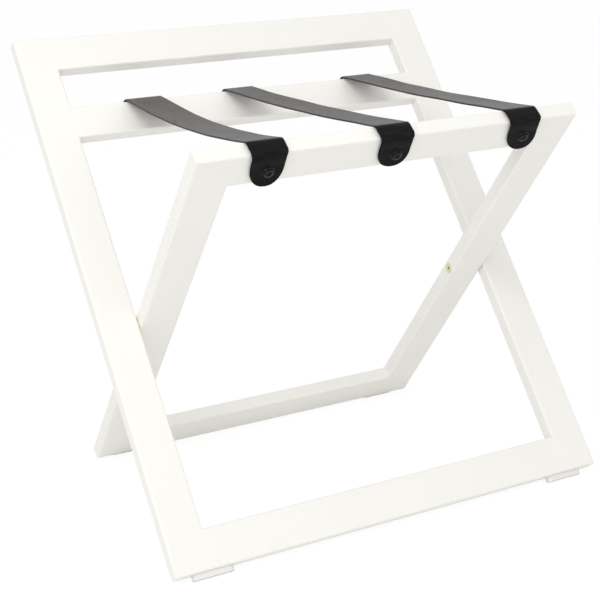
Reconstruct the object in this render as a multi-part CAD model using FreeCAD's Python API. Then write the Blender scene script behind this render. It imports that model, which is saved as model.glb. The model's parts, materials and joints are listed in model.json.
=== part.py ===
import FreeCAD, Part
import math
import os

from FreeCAD import Vector

# Folding luggage bench with a raised back: two lacquered wooden frames cross like scissors and turn
# on a screw at each side. Three leather straps join the inner frame's top rail to the outer frame's
# strap rail and stop the feet from sliding further apart.
# Millimetres, +X to the right, +Y to the back, +Z up. The origin is the middle of the footprint.
# Each frame is made upright about the pivot axis, with its front face towards -Y, and then leaned.

# ---- driving dimensions ----------------------------------------------------------------------
WIDTH = 600.0            # outer frame, over its stiles
BOARD_W = 48.0           # face width of the stiles, the top rails and the bottom rails
STRAP_RAIL_W = 44.0      # face width of the rail that carries the straps' back ends
BOARD_T = 19.0           # thickness of every board
EDGE_EASE = 2.5          # rounding of the glued-up frames' edges
LEAN = 38.8              # each frame's angle from upright when the bench stands open, degrees

LEG = 308.0              # pivot axis to the square-cut foot, both frames
OUTER_TOP = 406.0        # pivot axis to the top of the outer frame, the back rest
STRAP_RAIL_TOP = 302.0   # pivot axis to the upper edge of the strap rail
INNER_TOP = 308.0        # pivot axis to the top of the inner frame

WASHER_T = 1.5           # spacer washer between the frames, which is also their side gap
WASHER_R = 8.0
PIVOT_SCREW_R = 3.0
PIVOT_SCREW_BITE = 20.8  # screw in the outer stile's insert
PIVOT_HEAD_R = 6.75
PIVOT_HEAD_SINK = 0.3    # head below the wood's face
PIVOT_HEAD_GAP = 0.3     # between the turning countersink and the head
PIVOT_SOCKET_AF = 4.0    # hexagon socket across flats
PIVOT_SOCKET_DEPTH = 2.8
PIVOT_RUN_FIT = 0.05     # radial clearance of the turning stile on the screw
INSERT_R = 4.75          # threaded insert in the outer stile
INSERT_L = 22.0
INSERT_SLOT_W = 1.4
INSERT_SLOT_DEPTH = 2.0

TENON_L = 28.0           # into the stile
TENON_T = 7.0
TENON_SHOULDER = 8.0     # rail's edge to the tenon
TENON_GLUE_GAP = 0.05
TENON_END_GAP = 1.0      # mortise beyond the tenon's end

STRAP_W = 41.5
STRAP_T = 2.2
STRAP_CLEAR = 0.3        # between the strap and the wood that it lies on
STRAP_STRAIGHT = 42.0    # length at each end, seen from above, that runs square to the rail
SAG_BLEND = 0.9          # share of the span that is curved
TONGUE_END = 25.0        # length of the rounded end
OVAL_TURNS = (0, 24, 48, 90, 132, 156, 180)  # ends and middles of the three arcs round it, degrees
BACK_SCREW_DEPTH = 22.0  # strap rail's upper edge to the back screws
BACK_TONGUE = 39.0       # strap rail's upper edge to the end of the back tongue

STRAP_SCREW_R = 2.0
STRAP_SCREW_L = 16.0     # from the cup's base to the point
STRAP_SCREW_DOME = 1.0
PILOT_GAP = 0.05         # radial, for screws and inserts in the wood
CUP_R = 8.0
CUP_H = 3.2

GLIDE_L = 52.0
GLIDE_W = 12.0
GLIDE_T = 7.0            # height under the square-cut foot
GLIDE_EDGE = 4.0         # height left at the edge next to the floor
GLIDE_SETBACK = 2.0      # glide to the edge of the foot next to the floor
GLIDE_RIB_L = 38.0       # rib on the glide's back, pressed into a groove in the foot
GLIDE_RIB_W = 3.0
GLIDE_RIB_H = 4.0
GLIDE_RIB_GAP = 0.05


# ---- sizes that follow ------------------------------------------------------------------------
OUTER_HALF = WIDTH / 2
OUTER_WINDOW = OUTER_HALF - BOARD_W          # half the clear width inside the outer frame
INNER_HALF = OUTER_WINDOW - WASHER_T
INNER_WINDOW = INNER_HALF - BOARD_W
HALF_T = BOARD_T / 2
PIVOT_SCREW_L = BOARD_W - PIVOT_HEAD_SINK + WASHER_T + PIVOT_SCREW_BITE
STRAP_STANDOFF = STRAP_CLEAR + STRAP_T       # wood to the strap's outer face
CUP_BASE = STRAP_STANDOFF + STRAP_CLEAR      # wood to the cup's base
STRAP_SCREW_HEAD_R = STRAP_SCREW_R + CUP_H   # a 90 degree head that fills the cup
GLIDE_INSET = BOARD_W - GLIDE_L / 2          # frame's side to the glide, half of it under the stile

OUTER_RAILS = {
    "outer_top_rail": (OUTER_TOP - BOARD_W, OUTER_TOP),
    "strap_rail": (STRAP_RAIL_TOP - STRAP_RAIL_W, STRAP_RAIL_TOP),
    "outer_bottom_rail": (-LEG, -LEG + BOARD_W),
}
INNER_RAILS = {
    "inner_top_rail": (INNER_TOP - BOARD_W, INNER_TOP),
    "inner_bottom_rail": (-LEG, -LEG + BOARD_W),
}


class Strap:
    """Where one strap lies, its sag and its front tongue.

    The middle of the strap at the back rail, at the front rail and at the front tip is counted from home.
    The front screw sits a little to the right of the tongue's middle, by screw_shift.
    """

    def __init__(self, home, back, front, tip, sag, tongue, screw_depth, screw_shift):
        self.back_x = home + back
        self.front_x = home + front
        self.tip_x = home + tip
        self.sag = sag
        self.tongue = tongue
        self.screw_depth = screw_depth
        self.screw_x = self.front_x + (tip - front) * screw_depth / tongue + screw_shift


# The outer straps are placed from the inner frame's stiles, and the middle one from the middle.
STRAPS = {
    "strap_left": Strap(
        home=-INNER_WINDOW, back=51.0, front=36.6, tip=45.0, sag=8.5, tongue=52.0,
        screw_depth=28.0, screw_shift=1.4),
    "strap_middle": Strap(
        home=0.0, back=-14.0, front=-5.8, tip=4.0, sag=3.5, tongue=48.0,
        screw_depth=28.5, screw_shift=3.5),
    "strap_right": Strap(
        home=INNER_WINDOW, back=-32.0, front=-31.8, tip=-16.9, sag=3.0, tongue=49.5,
        screw_depth=26.2, screw_shift=1.4),
}

X_AXIS = Vector(1, 0, 0)
Z_AXIS = Vector(0, 0, 1)
ORIGIN = Vector(0, 0, 0)


def box(x0, x1, y0, y1, z0, z1):
    return Part.makeBox(x1 - x0, y1 - y0, z1 - z0, Vector(x0, y0, z0))


def rod(radius, start, direction, length):
    return Part.makeCylinder(radius, length, start, direction)


def turned(profile, start, direction):
    """A revolved solid. The profile is (radius, height) points, its height along direction."""
    outline = Part.makePolygon([Vector(r, 0, h) for r, h in profile + profile[:1]])
    solid = Part.Face(outline).revolve(ORIGIN, Z_AXIS, 360)
    solid.Placement = FreeCAD.Placement(start, FreeCAD.Rotation(Z_AXIS, direction))
    return solid


def lean(shape, angle):
    leaned = shape.copy()
    leaned.rotate(ORIGIN, X_AXIS, angle)
    return leaned


def lean_outer(shape):
    return lean(shape, -LEAN)


def lean_inner(shape):
    return lean(shape, LEAN)


# ---- frames -----------------------------------------------------------------------------------
def glued_frame(half_width, window, top, rails):
    """The whole frame in one piece, with its windows cut and every edge eased."""
    frame = box(-half_width, half_width, -HALF_T, HALF_T, -LEG, top)
    levels = sorted(rails.values())
    for (_, lower), (upper, _) in zip(levels, levels[1:]):
        frame = frame.cut(box(-window, window, -BOARD_T, BOARD_T, lower, upper))
    return frame.makeFillet(EDGE_EASE, [edge for edge in frame.Edges if edge.BoundBox.YLength < 1])


def frame_boards(prefix, half_width, window, top, rails):
    """Cuts the eased frame back into its stiles and rails, which meet face to face."""
    frame = glued_frame(half_width, window, top, rails)
    left = frame.common(box(-half_width, -window, -BOARD_T, BOARD_T, -LEG, top))
    right = frame.common(box(window, half_width, -BOARD_T, BOARD_T, -LEG, top))
    boards = {
        prefix + "_left_stile": left.cut([mortise(window, rail, -1) for rail in rails.values()]),
        prefix + "_right_stile": right.cut([mortise(window, rail, 1) for rail in rails.values()]),
    }
    for name, rail in rails.items():
        board = frame.common(box(-window, window, -BOARD_T, BOARD_T, *rail))
        boards[name] = board.fuse([tenon(window, rail, -1), tenon(window, rail, 1)])
    return boards


def tenon(window, rail, side, gap=0, end_gap=0):
    """The tongue on one end of a rail, grown by the gaps for its mortise."""
    x0, x1 = sorted((side * window, side * (window + TENON_L + end_gap)))
    half_t = TENON_T / 2 + gap
    return box(x0, x1, -half_t, half_t, rail[0] + TENON_SHOULDER - gap, rail[1] - TENON_SHOULDER + gap)


def mortise(window, rail, side):
    return tenon(window, rail, side, TENON_GLUE_GAP, TENON_END_GAP)


def drill(boards, holes):
    """Cuts the holes and grooves from the boards that they reach."""
    tool = Part.makeCompound(holes)
    for name, board in boards.items():
        if board.BoundBox.intersect(tool.BoundBox):
            boards[name] = board.cut(holes)


# ---- pivots -----------------------------------------------------------------------------------
def pivot_screw(side):
    """Countersunk screw with a hexagon socket, its head in the inner stile's inner face."""
    face = side * (INNER_WINDOW + PIVOT_HEAD_SINK)
    inward = Vector(side, 0, 0)
    cone = PIVOT_HEAD_R - PIVOT_SCREW_R
    profile = [(0, 0), (PIVOT_HEAD_R, 0), (PIVOT_SCREW_R, cone), (PIVOT_SCREW_R, PIVOT_SCREW_L),
               (0, PIVOT_SCREW_L)]
    screw = turned(profile, Vector(face, 0, 0), inward)
    corner = PIVOT_SOCKET_AF / math.sqrt(3)
    hexagon = [Vector(0, corner * math.cos(math.radians(a)), corner * math.sin(math.radians(a)))
               for a in range(0, 361, 60)]
    socket = Part.Face(Part.makePolygon(hexagon)).extrude(inward * PIVOT_SOCKET_DEPTH)
    socket.translate(Vector(face, 0, 0))
    return screw.cut(socket)


def pivot_bore(side):
    """The turning stile's bore and countersink."""
    mouth = PIVOT_HEAD_R + PIVOT_HEAD_GAP + PIVOT_HEAD_SINK
    bore_r = PIVOT_SCREW_R + PIVOT_RUN_FIT
    face = Vector(side * INNER_WINDOW, 0, 0)
    inward = Vector(side, 0, 0)
    sink = turned([(0, 0), (mouth, 0), (bore_r, mouth - bore_r), (0, mouth - bore_r)], face, inward)
    return [sink, rod(bore_r, face, inward, BOARD_W)]


def pivot_washer(side):
    start = Vector(side * INNER_HALF, 0, 0)
    inward = Vector(side, 0, 0)
    ring = rod(WASHER_R, start, inward, WASHER_T)
    return ring.cut(rod(PIVOT_SCREW_R + PIVOT_HEAD_GAP, start, inward, WASHER_T))


def pivot_insert(side):
    """Slotted threaded insert, flush with the outer stile's inner face."""
    start = Vector(side * OUTER_WINDOW, 0, 0)
    inward = Vector(side, 0, 0)
    sleeve = rod(INSERT_R, start, inward, INSERT_L)
    half_slot = INSERT_SLOT_W / 2
    slot = box(-INSERT_SLOT_DEPTH, INSERT_SLOT_DEPTH, -INSERT_R, INSERT_R, -half_slot, half_slot)
    slot.translate(start)
    return sleeve.cut([rod(PIVOT_SCREW_R + PIVOT_RUN_FIT, start, inward, INSERT_L), slot])


def insert_hole(side):
    start = Vector(side * OUTER_WINDOW, 0, 0)
    return rod(INSERT_R + PILOT_GAP, start, Vector(side, 0, 0), INSERT_L + PILOT_GAP)


# ---- straps -----------------------------------------------------------------------------------
def turn_2d(point, angle):
    """A (y, z) point turned about the pivot axis, as rotate turns a solid."""
    y, z = point
    c, s = math.cos(math.radians(angle)), math.sin(math.radians(angle))
    return Vector(0, y * c - z * s, y * s + z * c)


def left_of(direction):
    return Vector(0, -direction.z, direction.y)


def line_over(corner, direction):
    """The strap's middle line where it lies over an eased wooden edge, as a point and a direction."""
    return corner + left_of(direction) * (EDGE_EASE + STRAP_CLEAR + STRAP_T / 2), direction


def crossing(first, second):
    (p, d), (q, e) = first, second
    along = ((q - p).cross(e)).dot(X_AXIS) / (d.cross(e)).dot(X_AXIS)
    return p + d * along


def strap_corners(sag, tongue):
    """The corners of the strap's middle line in the YZ plane, from the front tongue to the back one."""
    inset = HALF_T - EDGE_EASE
    inner_front = turn_2d((-inset, INNER_TOP - EDGE_EASE), LEAN)
    inner_back = turn_2d((inset, INNER_TOP - EDGE_EASE), LEAN)
    outer_front = turn_2d((-inset, STRAP_RAIL_TOP - EDGE_EASE), -LEAN)
    outer_back = turn_2d((inset, STRAP_RAIL_TOP - EDGE_EASE), -LEAN)
    up_inner, over_inner = turn_2d((0, 1), LEAN), turn_2d((1, 0), LEAN)
    over_outer, down_outer = turn_2d((1, 0), -LEAN), turn_2d((0, -1), -LEAN)

    span = outer_front - inner_back
    dip = math.degrees(math.atan2(sag / (1 - SAG_BLEND / 2), span.Length / 2))
    along = math.degrees(math.atan2(span.z, span.y))
    lines = [
        line_over(inner_front, up_inner),
        line_over(inner_front, over_inner),
        line_over(inner_back, turn_2d((1, 0), along - dip)),
        line_over(outer_front, turn_2d((1, 0), along + dip)),
        line_over(outer_back, over_outer),
        line_over(outer_back, down_outer),
    ]
    corners = [crossing(a, b) for a, b in zip(lines, lines[1:])]
    above_edge = STRAP_CLEAR + STRAP_T / 2
    start = corners[0] - up_inner * (above_edge + tongue)
    finish = corners[-1] + down_outer * (above_edge + BACK_TONGUE)
    return [start] + corners + [finish]


def rounded_line(corners, radii, offset):
    """Straight runs joined by tangent arcs, moved sideways by offset to the path's left."""
    edges = []
    here = corners[0] + left_of((corners[1] - corners[0]).normalize()) * offset
    for before, corner, after, radius in zip(corners, corners[1:], corners[2:], radii):
        arrive = (corner - before).normalize()
        leave = (after - corner).normalize()
        half_turn = arrive.getAngle(leave) / 2
        reach = radius * math.tan(half_turn)
        towards = (leave - arrive).normalize()
        middle = corner + towards * (radius / math.cos(half_turn) - radius)
        outward = towards if left_of(arrive).dot(towards) > 0 else -towards
        bend = [corner - arrive * reach + left_of(arrive) * offset,
                middle + outward * offset,
                corner + leave * reach + left_of(leave) * offset]
        edges.append(Part.LineSegment(here, bend[0]).toShape())
        edges.append(Part.Arc(*bend).toShape())
        here = bend[2]
    last = (corners[-1] - corners[-2]).normalize()
    edges.append(Part.LineSegment(here, corners[-1] + left_of(last) * offset).toShape())
    return edges


def strap_band(sag, tongue):
    """The bent strip, wider than the strap, before its outline is cut."""
    corners = strap_corners(sag, tongue)
    over_edge = EDGE_EASE + STRAP_CLEAR + STRAP_T / 2
    dip = corners[3] - corners[2]
    half_turn = dip.getAngle(corners[4] - corners[3]) / 2
    span_radius = SAG_BLEND * dip.Length / math.tan(half_turn)
    radii = [over_edge, over_edge, span_radius, over_edge, over_edge]
    upper = rounded_line(corners, radii, STRAP_T / 2)
    lower = rounded_line(corners, radii, -STRAP_T / 2)
    ends = [Part.LineSegment(a, b).toShape() for a, b in (
        (upper[0].firstVertex(True).Point, lower[0].firstVertex(True).Point),
        (upper[-1].lastVertex(True).Point, lower[-1].lastVertex(True).Point))]
    outline = Part.Wire(Part.__sortEdges__(upper + lower + ends))
    band = Part.Face(outline).extrude(X_AXIS * WIDTH)
    band.translate(Vector(-OUTER_HALF, 0, 0))
    return band


def plan_prism(front_x, back_x, band):
    """The strap seen from above: square to each rail at its ends and slanting between them."""
    y0, y1 = band.BoundBox.YMin - 1, band.BoundBox.YMax + 1
    stations = [(y0, front_x), (y0 + STRAP_STRAIGHT, front_x), (y1 - STRAP_STRAIGHT, back_x), (y1, back_x)]
    z0 = band.BoundBox.ZMin - 1
    left = [Vector(x - STRAP_W / 2, y, z0) for y, x in stations]
    right = [Vector(x + STRAP_W / 2, y, z0) for y, x in reversed(stations)]
    return Part.Face(Part.makePolygon(left + right + left[:1])).extrude(Z_AXIS * (band.BoundBox.ZLength + 2))


def tongue_prism(root_x, tip_x, root, length, outward):
    """The tongue's outline on an upright rail: straight sides that lean towards the tip, and an oval end."""
    half = STRAP_W / 2
    straight = length - TONGUE_END
    slant = (tip_x - root_x) / length

    def at(x, depth):
        return Vector(root_x + x + slant * depth, 0, root - depth)

    turns = [math.radians(a) for a in OVAL_TURNS]
    oval = [at(-half * math.cos(t), straight + TONGUE_END * math.sin(t)) for t in turns]
    arcs = [Part.Arc(*oval[i:i + 3]).toShape() for i in (0, 2, 4)]
    sides = Part.makePolygon([at(half, straight), at(half, 0), at(-half, 0), at(-half, straight)])
    outline = Part.Wire(Part.__sortEdges__(sides.Edges + arcs))
    return Part.Face(outline).extrude(Vector(0, outward * BOARD_T, 0))


def tongue_space(root, outward):
    """Everything beside a rail below the bend over its edge, where only the tongue hangs."""
    y0, y1 = sorted((0, outward * BOARD_T))
    return box(-OUTER_HALF, OUTER_HALF, y0, y1, root - 2 * BOARD_W, root)


def screw_clearance(x, height, outward):
    return rod(STRAP_SCREW_R + STRAP_CLEAR, Vector(x, 0, height), Vector(0, outward, 0), BOARD_T)


def strap(size):
    band = strap_band(size.sag, size.tongue)
    front_root, back_root = INNER_TOP - EDGE_EASE, STRAP_RAIL_TOP - EDGE_EASE
    front = lean_inner(tongue_prism(
        size.front_x, size.tip_x, front_root, size.tongue - EDGE_EASE, -1))
    back = lean_outer(tongue_prism(size.back_x, size.back_x, back_root, BACK_TONGUE - EDGE_EASE, 1))
    spaces = [lean_inner(tongue_space(front_root, -1)), lean_outer(tongue_space(back_root, 1))]
    span = band.cut(spaces).common(plan_prism(size.front_x, size.back_x, band))
    whole = span.fuse([band.common(front), band.common(back)]).removeSplitter()
    return whole.cut([
        lean_inner(screw_clearance(size.screw_x, INNER_TOP - size.screw_depth, -1)),
        lean_outer(screw_clearance(size.back_x, STRAP_RAIL_TOP - BACK_SCREW_DEPTH, 1)),
    ])


def front_screw_places():
    """(x, height, face, outward) of each strap's screw, in the upright frame."""
    return [(size.screw_x, INNER_TOP - size.screw_depth, -HALF_T, -1) for size in STRAPS.values()]


def back_screw_places():
    return [(size.back_x, STRAP_RAIL_TOP - BACK_SCREW_DEPTH, HALF_T, 1) for size in STRAPS.values()]


def strap_screw(x, height, face, outward):
    """Wood screw with a raised countersunk head that sits in its cup."""
    profile = [(0, CUP_H + STRAP_SCREW_DOME), (STRAP_SCREW_HEAD_R, CUP_H), (STRAP_SCREW_R, 0),
               (STRAP_SCREW_R, -STRAP_SCREW_L), (0, -STRAP_SCREW_L)]
    return turned(profile, Vector(x, face + outward * CUP_BASE, height), Vector(0, outward, 0))


def strap_cup(x, height, face, outward):
    """Finishing cup washer: a low cone outside, with a hollow cone for the screw's head."""
    profile = [(STRAP_SCREW_R + PILOT_GAP, 0), (CUP_R, 0), (STRAP_SCREW_HEAD_R + PILOT_GAP, CUP_H)]
    return turned(profile, Vector(x, face + outward * CUP_BASE, height), Vector(0, outward, 0))


def strap_pilot(x, height, face, outward):
    depth = STRAP_SCREW_L - CUP_BASE + PILOT_GAP
    return rod(STRAP_SCREW_R + PILOT_GAP, Vector(x, face, height), Vector(0, -outward, 0), depth)


# ---- glides -----------------------------------------------------------------------------------
def glide_middle(half_width, side):
    return side * (half_width - GLIDE_INSET - GLIDE_L / 2)


def glide_depth(low_edge):
    """Middle of the glide's width. low_edge is +1 where the foot's back edge is next to the floor."""
    return low_edge * (HALF_T - GLIDE_SETBACK - GLIDE_W / 2)


def glide(x, low_edge):
    """Plastic glide under a square-cut foot: round-ended, with its low corner levelled to the floor."""
    y = glide_depth(low_edge)
    run = GLIDE_L / 2 - GLIDE_W / 2
    pad = box(x - run, x + run, y - GLIDE_W / 2, y + GLIDE_W / 2, -LEG - GLIDE_T, -LEG)
    for end in (-run, run):
        pad = pad.fuse(rod(GLIDE_W / 2, Vector(x + end, y, -LEG - GLIDE_T), Z_AXIS, GLIDE_T))
    low_y = low_edge * (HALF_T - GLIDE_SETBACK)
    below = box(-WIDTH, WIDTH, -WIDTH, WIDTH, -WIDTH, 0)
    below.translate(Vector(0, low_y, -LEG - GLIDE_EDGE))
    below.rotate(Vector(0, low_y, -LEG - GLIDE_EDGE), X_AXIS, low_edge * LEAN)
    return pad.removeSplitter().cut(below).fuse(glide_rib(x, y))


def glide_rib(x, y, gap=0):
    """The rib on a glide's back or, with a gap, the groove for it."""
    half_l, half_w = GLIDE_RIB_L / 2 + gap, GLIDE_RIB_W / 2 + gap
    return box(x - half_l, x + half_l, y - half_w, y + half_w, -LEG, -LEG + GLIDE_RIB_H + gap)


# ---- assembly ---------------------------------------------------------------------------------
def both_sides(make):
    return Part.makeCompound([make(-1), make(1)])


def add_glides(nodes, boards, prefix, half_width, low_edge):
    y = glide_depth(low_edge)
    for side, name in ((-1, "left"), (1, "right")):
        x = glide_middle(half_width, side)
        nodes[prefix + "_" + name + "_glide"] = glide(x, low_edge)
        drill(boards, [glide_rib(x, y, GLIDE_RIB_GAP)])


def build_outer():
    boards = frame_boards("outer", OUTER_HALF, OUTER_WINDOW, OUTER_TOP, OUTER_RAILS)
    drill(boards, [insert_hole(-1)])
    drill(boards, [insert_hole(1)])
    places = back_screw_places()
    drill(boards, [strap_pilot(*place) for place in places])
    nodes = {
        "pivot_screws": both_sides(pivot_screw),
        "pivot_washers": both_sides(pivot_washer),
        "pivot_inserts": both_sides(pivot_insert),
        "strap_back_screws": Part.makeCompound([strap_screw(*place) for place in places]),
        "strap_back_cups": Part.makeCompound([strap_cup(*place) for place in places]),
    }
    add_glides(nodes, boards, "outer", OUTER_HALF, 1)
    nodes.update(boards)
    return {name: lean_outer(shape) for name, shape in nodes.items()}


def build_inner():
    boards = frame_boards("inner", INNER_HALF, INNER_WINDOW, INNER_TOP, INNER_RAILS)
    drill(boards, pivot_bore(-1))
    drill(boards, pivot_bore(1))
    places = front_screw_places()
    drill(boards, [strap_pilot(*place) for place in places])
    nodes = {
        "strap_front_screws": Part.makeCompound([strap_screw(*place) for place in places]),
        "strap_front_cups": Part.makeCompound([strap_cup(*place) for place in places]),
    }
    add_glides(nodes, boards, "inner", INNER_HALF, -1)
    nodes.update(boards)
    return {name: lean_inner(shape) for name, shape in nodes.items()}


def build():
    nodes = build_outer()
    nodes.update(build_inner())
    for name, size in STRAPS.items():
        nodes[name] = strap(size)
    return nodes


def stand_on_floor(nodes):
    """Moves everything so that the middle of the footprint is the origin and the glides stand on Z = 0."""
    whole = Part.makeCompound(list(nodes.values())).optimalBoundingBox(False, False)
    move = Vector(0, -(whole.YMin + whole.YMax) / 2, -whole.ZMin)
    for shape in nodes.values():
        shape.translate(move)
    return move


def main():
    nodes = build()
    pivot = stand_on_floor(nodes)
    os.makedirs("parts", exist_ok=True)
    for name, shape in sorted(nodes.items()):
        shape.exportStep("parts/" + name + ".step")
        size = shape.optimalBoundingBox(False, False)
        print("%-26s %2d solids  volume %9.0f  x %7.1f %7.1f  y %7.1f %7.1f  z %7.1f %7.1f" % (
            name, len(shape.Solids), shape.Volume, size.XMin, size.XMax, size.YMin, size.YMax,
            size.ZMin, size.ZMax))
    whole = Part.makeCompound(list(nodes.values())).optimalBoundingBox(False, False)
    print("pieces %d  whole %.2f x %.2f x %.2f  pivot axis at y %.4f z %.4f" % (
        len(nodes), whole.XLength, whole.YLength, whole.ZLength, pivot.y, pivot.z))


main()
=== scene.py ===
import json
import math

import bmesh
import bpy
from bpy.props import FloatProperty, FloatVectorProperty, IntProperty, PointerProperty
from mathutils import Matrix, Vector, noise


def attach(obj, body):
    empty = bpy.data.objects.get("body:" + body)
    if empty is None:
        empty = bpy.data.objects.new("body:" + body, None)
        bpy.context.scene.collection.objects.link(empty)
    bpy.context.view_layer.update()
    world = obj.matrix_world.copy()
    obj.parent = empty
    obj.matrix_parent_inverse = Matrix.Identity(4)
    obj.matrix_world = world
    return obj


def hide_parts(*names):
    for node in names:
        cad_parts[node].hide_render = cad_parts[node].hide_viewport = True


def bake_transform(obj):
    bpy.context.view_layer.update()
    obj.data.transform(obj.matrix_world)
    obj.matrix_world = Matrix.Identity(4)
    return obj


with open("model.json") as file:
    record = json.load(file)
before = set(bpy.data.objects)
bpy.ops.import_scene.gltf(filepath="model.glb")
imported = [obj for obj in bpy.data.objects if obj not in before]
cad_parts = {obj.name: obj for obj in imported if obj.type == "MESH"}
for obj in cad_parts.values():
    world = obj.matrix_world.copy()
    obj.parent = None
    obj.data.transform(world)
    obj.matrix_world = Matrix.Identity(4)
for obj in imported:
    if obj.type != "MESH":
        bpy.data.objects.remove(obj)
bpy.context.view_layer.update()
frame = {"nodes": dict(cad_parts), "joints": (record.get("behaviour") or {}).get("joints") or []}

bl_info = {
    "name": "Luggage bench",
    "version": (1, 0, 0),
    "blender": (4, 5, 0),
    "location": "3D View > Sidebar > Luggage bench",
    "description": "Dresses a folding luggage bench: lacquer, leather straps, screws, glides and a studio",
    "category": "Object",
}

MM = 0.001

# ---- sizes taken over from the solid model, in metres unless said --------------------------------
PIVOT = Vector(frame["joints"][0]["pos_m"])
LEAN = 38.8                                      # degrees
HALF_T = 9.5 * MM
EDGE_EASE = 2.5 * MM
INNER_TOP = 308.0 * MM
STRAP_RAIL_TOP = 302.0 * MM
INNER_WINDOW = 202.5 * MM

STRAP_W = 41.5 * MM
STRAP_T = 2.2 * MM
STRAP_CLEAR = 0.3 * MM
OVER_EDGE = EDGE_EASE + STRAP_CLEAR + STRAP_T / 2
SAG_BLEND = 0.9
BACK_END = 25.0 * MM                             # length of the rounding at a back tip
BACK_TONGUE = 39.0 * MM
BACK_SCREW_DEPTH = 22.0 * MM
SLANT_FROM, SLANT_TO = -190.3 * MM, 127.7 * MM   # the stretch, seen from above, where a strap slants
CUP_BASE = 2 * STRAP_CLEAR + STRAP_T             # wood to the cup washer's base

PIVOT_HEAD_R = 6.75 * MM
PIVOT_SCREW_R = 3.0 * MM
PIVOT_SCREW_L = 70.0 * MM
PIVOT_HEAD_SINK = 0.3 * MM
PIVOT_SOCKET_AF = 4.0 * MM
PIVOT_SOCKET_DEPTH = 2.8 * MM

# ---- how the leather lies, wear and dirt, painted shade, and the studio, none of them in the solid model ---
TIP_FULLNESS = 2.2                               # 2 is an oval, more is blunter
PUFF_RING, PUFF_WIDTH = 10.5 * MM, 2.4 * MM      # where the leather swells round a cup washer
DIMPLE_R = 11 * MM                               # how far round its screw a tongue is pulled down
TIGHT_BEND = 50                                  # per metre: a bend over an edge, as against the sag
TURN_IN_FRONT, TURN_BEHIND = 0.07, 0.08          # shares of the span by which the turning range passes it

FLOOR_DIRT = (0.36, 0.34, 0.31, 1.0)
SOLE_DIRT = (0.20, 0.18, 0.16, 1.0)
LEATHER_SCUFF = (0.055, 0.053, 0.052, 1.0)
LEATHER_CREASE = (0.040, 0.038, 0.036, 1.0)
LEATHER_FLESH = (0.022, 0.020, 0.019, 1.0)
LEATHER_RIM = (0.016, 0.014, 0.013, 1.0)
# Painted shade: the near black that the tongues' colour is pulled towards.
LEATHER_TONGUE_SHADE = (0.003, 0.003, 0.003, 1.0)
WHITE = (1.0, 1.0, 1.0, 1.0)

CAMERA_LENS, CAMERA_SENSOR = 82.2704, 36.0       # millimetres
CAMERA_PLACE = (-0.815156, -1.513057, 0.769624)
CAMERA_TURN = (72.55579, 1.45298, -28.44147)     # degrees
KEY_PLACE = (-1.1, -1.1, 2.1)
FILL_PLACE = (-2.0, -3.0, 0.8)
LAMPS_FACE = (0.0, 0.0, 0.3)

STILES = ("left_stile", "right_stile")
OUTER_RAILS = ("outer_top_rail", "strap_rail", "outer_bottom_rail")
INNER_RAILS = ("inner_top_rail", "inner_bottom_rail")
GLIDES = {
    "outer_left_glide": "outer_frame", "outer_right_glide": "outer_frame",
    "inner_left_glide": "inner_frame", "inner_right_glide": "inner_frame",
}


class StrapPlace:
    """Where one strap lies: the middle of it at the back rail, the front rail and the front tip.

    back, front and tip are millimetres to the right of home. screw_shift and back_shift say how far the front and
    the back screw are off the strap's middle. back_width is the width over the back rail, and spread its share of
    STRAP_W. end is the length of the rounding at the front tip. seed picks the strap's own waves and pebbles.
    """

    def __init__(self, name, home, back, front, tip, sag, tongue, screw_depth, screw_shift, back_shift, back_width,
                 end, seed):
        self.name = name
        self.back_x = home + back * MM
        self.front_x = home + front * MM
        self.tip_x = home + tip * MM
        self.sag = sag * MM
        self.tongue = tongue * MM
        self.screw_depth = screw_depth * MM
        self.screw_x = self.front_x + ((tip - front) * screw_depth / tongue + screw_shift) * MM
        self.back_screw_x = self.back_x + back_shift * MM
        self.spread = back_width * MM / STRAP_W
        self.end = end * MM
        self.seed = seed


STRAPS = (
    StrapPlace("strap_left", -INNER_WINDOW, back=50.0, front=36.6, tip=43.6, sag=9.3, tongue=52.0,
               screw_depth=28.0, screw_shift=2.15, back_shift=1.0, back_width=49.5, end=32.0, seed=3),
    StrapPlace("strap_middle", 0.0, back=-15.0, front=-5.8, tip=2.8, sag=4.0, tongue=48.0,
               screw_depth=28.5, screw_shift=4.2, back_shift=1.0, back_width=42.0, end=25.0, seed=8),
    StrapPlace("strap_right", INNER_WINDOW, back=-33.5, front=-31.8, tip=-18.2, sag=3.4, tongue=49.5,
               screw_depth=26.2, screw_shift=2.1, back_shift=1.5, back_width=43.5, end=26.0, seed=14),
)


# ---- node trees -----------------------------------------------------------------------------------
class Value:
    """A socket that takes part in sums: each sum adds its Math node to the tree."""

    def __init__(self, nodes, socket):
        self.nodes = nodes
        self.socket = socket

    def out(self, name):
        """Another output of the same node."""
        return Value(self.nodes, self.nodes.find(self.socket.node.outputs, name))

    def maths(self, operation, *values):
        return self.nodes.add("ShaderNodeMath", dict(enumerate(values)), operation=operation)

    def __add__(self, other):
        return self.maths("ADD", self, other)

    def __radd__(self, other):
        return self.maths("ADD", other, self)

    def __sub__(self, other):
        return self.maths("SUBTRACT", self, other)

    def __rsub__(self, other):
        return self.maths("SUBTRACT", other, self)

    def __mul__(self, other):
        return self.maths("MULTIPLY", self, other)

    def __rmul__(self, other):
        return self.maths("MULTIPLY", other, self)

    def __truediv__(self, other):
        return self.maths("DIVIDE", self, other)

    def __neg__(self):
        return self.maths("MULTIPLY", self, -1.0)

    def at_least(self, other):
        return self.maths("MAXIMUM", self, other)

    def at_most(self, other):
        return self.maths("MINIMUM", self, other)

    def between(self, low, high):
        """0 at low and below, 1 at high and above, smooth between."""
        return self.nodes.add("ShaderNodeMapRange", {"Value": self, "From Min": low, "From Max": high},
                              interpolation_type="SMOOTHSTEP")


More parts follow.
